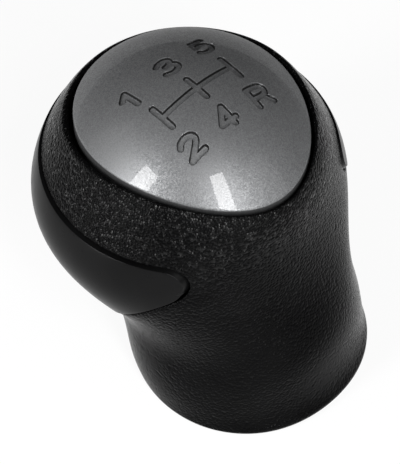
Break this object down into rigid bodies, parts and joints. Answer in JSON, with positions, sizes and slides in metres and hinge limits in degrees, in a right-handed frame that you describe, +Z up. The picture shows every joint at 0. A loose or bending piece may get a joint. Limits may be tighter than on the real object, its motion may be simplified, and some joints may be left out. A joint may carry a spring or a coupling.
{
  "type": "gear shift knob",
  "caption": "Hand-sized gear shift knob: hollow grained grip leaning forward, domed painted cap with a sunk shift pattern, crescent front trim and a split bush for the lever.",
  "frame": {"origin": "mouth of the lever bore, in the middle of the round base", "axes": "+Z up along the lever out of the base, +Y towards the front of the car, +X to the right"},
  "size_m": [0.0572, 0.0647, 0.0595],
  "materials": {
    "grip_plastic": "black, fine leather-like grain",
    "cap_paint": "mid grey metallic paint under clear coat",
    "trim_plastic": "smooth satin black",
    "bush_nylon": "natural nylon"
  },
  "bodies": {
    "root": {"grip_shell": "grip_plastic", "top_cap": "cap_paint", "front_trim": "trim_plastic", "lever_bush": "bush_nylon"}
  },
  "joints": []
}
